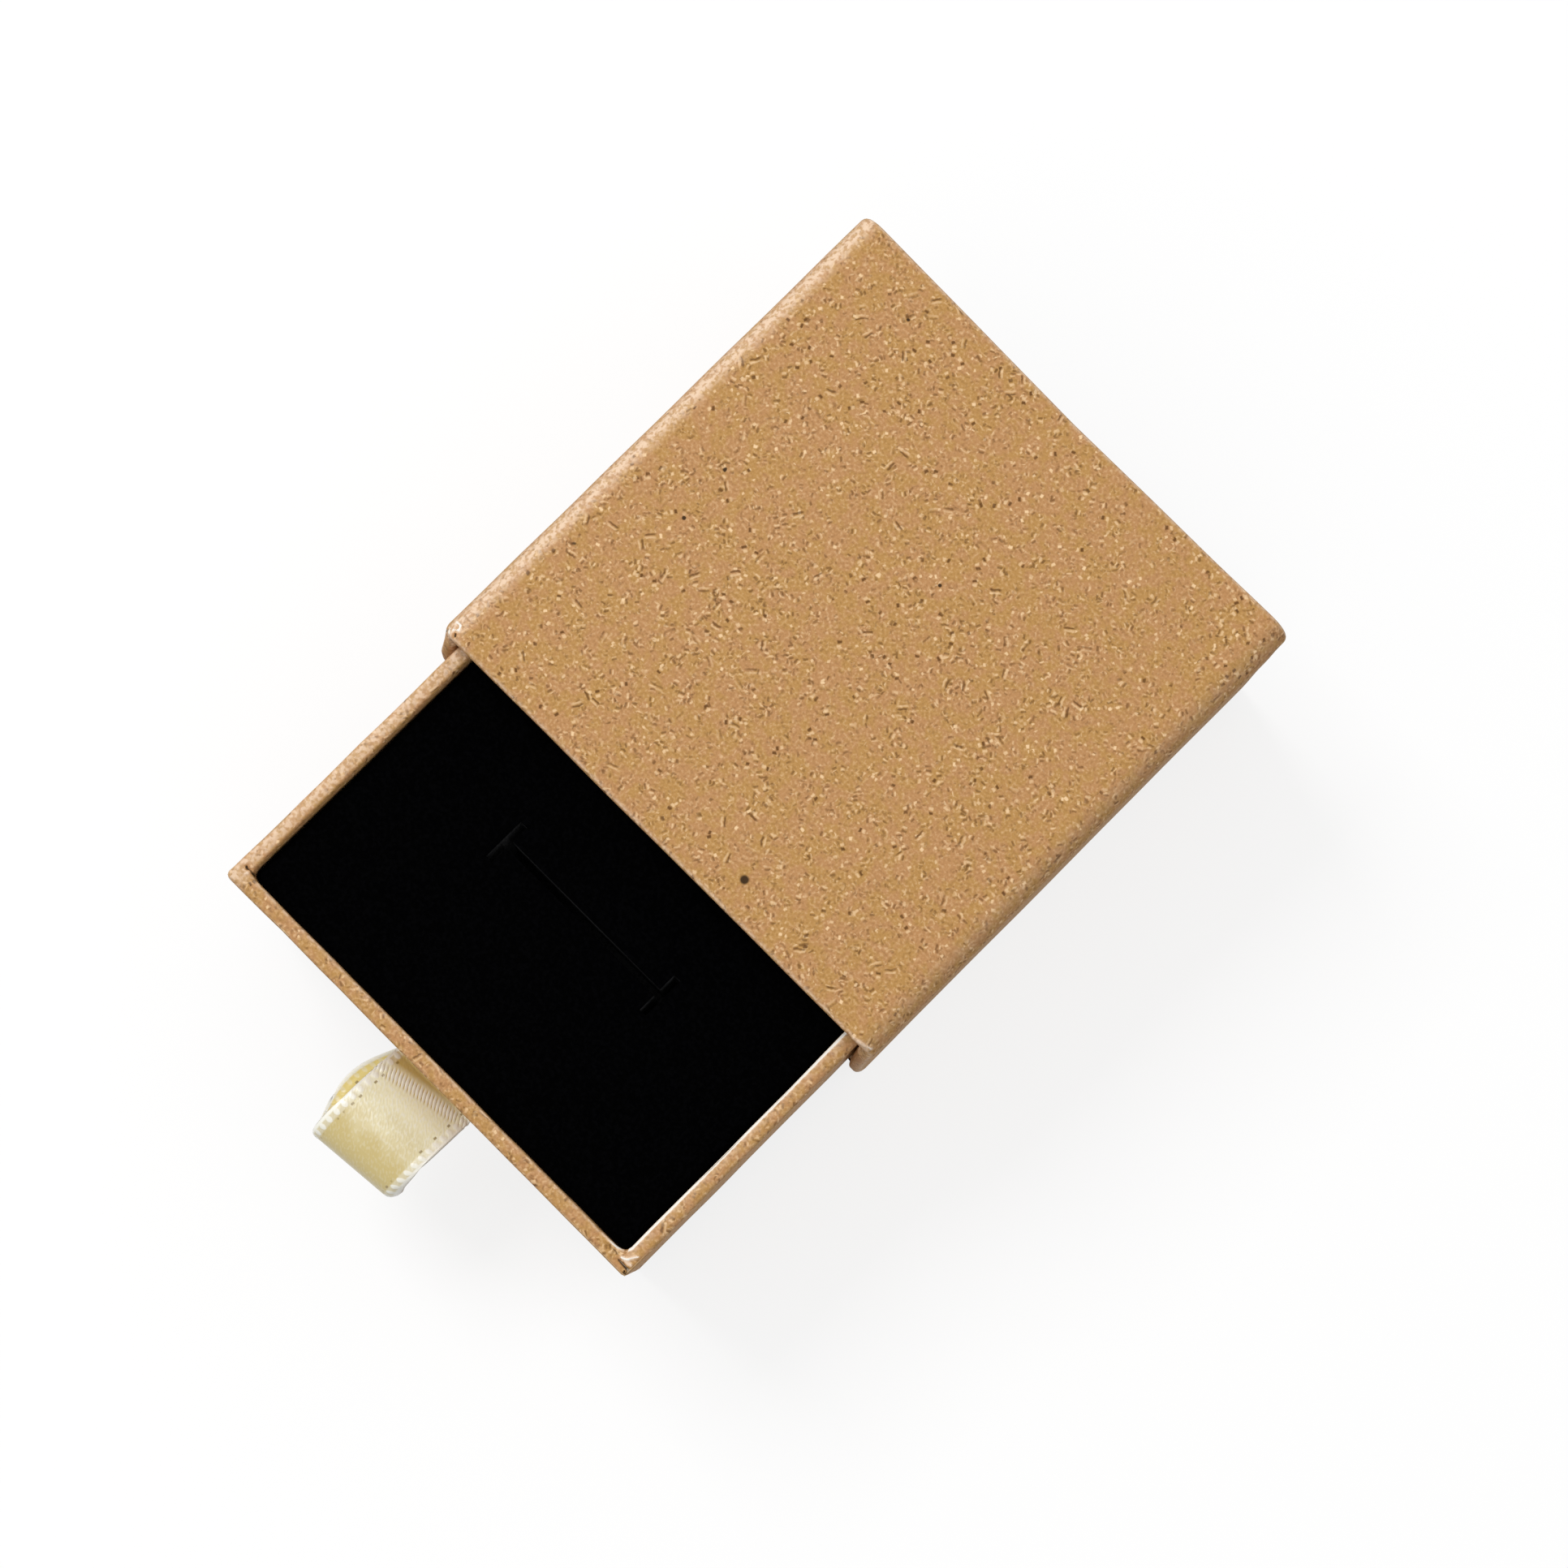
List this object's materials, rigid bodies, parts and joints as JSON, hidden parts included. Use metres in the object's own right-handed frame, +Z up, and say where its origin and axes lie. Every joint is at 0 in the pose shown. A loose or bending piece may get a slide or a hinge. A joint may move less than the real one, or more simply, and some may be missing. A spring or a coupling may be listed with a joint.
{
  "type": "sliding drawer gift box",
  "caption": "Small paper-wrapped board box: an open-ended sleeve, a drawer that slides in it on a ribbon pull, and a velvet pad with a ring slit.",
  "frame": {"origin": "middle of the sleeve's underside, on the surface that the box stands on", "axes": "+Z up, the drawer opens towards -Y, +X to the right for someone who faces the drawer's front and looks along +Y"},
  "size_m": [0.056, 0.0963, 0.033],
  "materials": {
    "kraft_paper": "matte",
    "greyboard": "matte",
    "gummed_paper": "matte",
    "black_velvet": "matte",
    "black_foam": "matte",
    "satin_ribbon": "satin"
  },
  "bodies": {
    "sleeve": {"sleeve_top_board": "greyboard", "sleeve_bottom_board": "greyboard", "sleeve_left_board": "greyboard", "sleeve_right_board": "greyboard", "sleeve_wrap": "kraft_paper", "sleeve_bottom_sheet": "kraft_paper"},
    "drawer": {"tray_wrap": "kraft_paper", "tray_base_lining": "kraft_paper", "tray_base_board": "greyboard", "tray_front_board": "greyboard", "tray_back_board": "greyboard", "tray_left_board": "greyboard", "tray_right_board": "greyboard", "corner_stay_front_left": "gummed_paper", "corner_stay_front_right": "gummed_paper", "corner_stay_back_left": "gummed_paper", "corner_stay_back_right": "gummed_paper", "ribbon_tape": "gummed_paper", "ribbon_tails": "satin_ribbon", "foam_pad": "black_foam", "pad_velvet": "black_velvet"},
    "ribbon_pull": {"ribbon_loop": "satin_ribbon"}
  },
  "joints": [
    {"name": "drawer_slide", "type": "slide", "parent": "sleeve", "child": "drawer", "axis": [0, -1, 0], "range_m": [-0.03, 0.02]},
    {"name": "ribbon_bend", "type": "hinge", "parent": "drawer", "child": "ribbon_pull", "pos_m": [0, -0.058, 0.01508], "axis": [-1, 0, 0], "range_deg": [-50, 50], "stiffness_Nm_per_rad": 0.0001}
  ]
}
